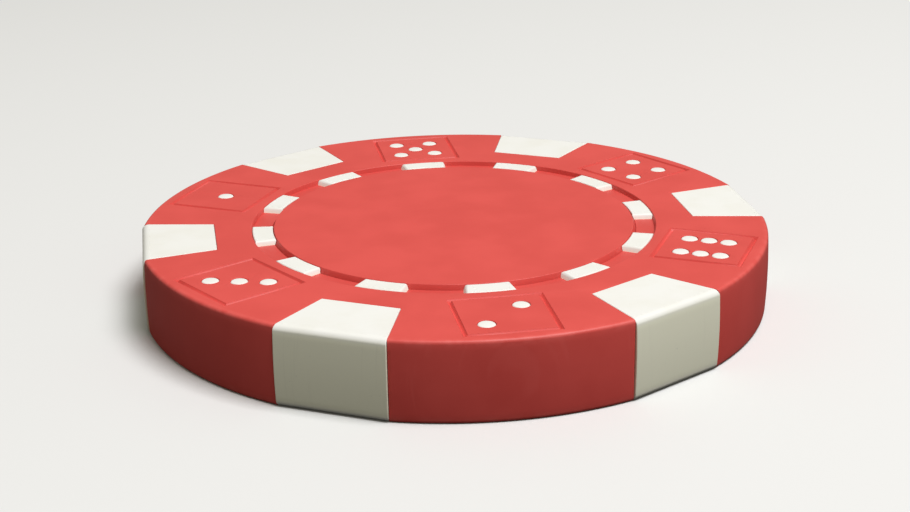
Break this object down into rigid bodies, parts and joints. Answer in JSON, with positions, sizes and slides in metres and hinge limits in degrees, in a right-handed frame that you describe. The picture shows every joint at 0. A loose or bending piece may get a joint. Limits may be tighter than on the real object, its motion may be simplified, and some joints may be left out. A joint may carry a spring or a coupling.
{
  "type": "poker chip",
  "caption": "Round red poker chip with white edge spots, a ring of white dashes around a plain centre and dice pips on both faces, weighted inside, for betting and stacking.",
  "frame": {"origin": "middle of the lower face, on the chip's axis", "axes": "+Z along the chip's axis, out of the upper face; +X through the middle of edge_spot_1"},
  "size_m": [0.0396, 0.04, 0.0049],
  "materials": {
    "red_plastic": "satin moulded red composite",
    "white_plastic": "satin moulded warm white composite",
    "slug_steel": "plain stamped steel"
  },
  "bodies": {
    "root": {"moulded_body": "red_plastic", "steel_slug": "slug_steel", "upper_centre_disc": "red_plastic", "lower_centre_disc": "red_plastic", "edge_spot_1": "white_plastic", "edge_spot_2": "white_plastic", "edge_spot_3": "white_plastic", "edge_spot_4": "white_plastic", "edge_spot_5": "white_plastic", "edge_spot_6": "white_plastic", "upper_dash_01": "white_plastic", "upper_dash_02": "white_plastic", "upper_dash_03": "white_plastic", "upper_dash_04": "white_plastic", "upper_dash_05": "white_plastic", "upper_dash_06": "white_plastic", "upper_dash_07": "white_plastic", "upper_dash_08": "white_plastic", "upper_dash_09": "white_plastic", "upper_dash_10": "white_plastic", "upper_dash_11": "white_plastic", "upper_dash_12": "white_plastic", "lower_dash_01": "white_plastic", "lower_dash_02": "white_plastic", "lower_dash_03": "white_plastic", "lower_dash_04": "white_plastic", "lower_dash_05": "white_plastic", "lower_dash_06": "white_plastic", "lower_dash_07": "white_plastic", "lower_dash_08": "white_plastic", "lower_dash_09": "white_plastic", "lower_dash_10": "white_plastic", "lower_dash_11": "white_plastic", "lower_dash_12": "white_plastic", "upper_pips_one": "white_plastic", "upper_pips_two": "white_plastic", "upper_pips_three": "white_plastic", "upper_pips_four": "white_plastic", "upper_pips_five": "white_plastic", "upper_pips_six": "white_plastic", "lower_pips_one": "white_plastic", "lower_pips_two": "white_plastic", "lower_pips_three": "white_plastic", "lower_pips_four": "white_plastic", "lower_pips_five": "white_plastic", "lower_pips_six": "white_plastic"}
  },
  "joints": []
}
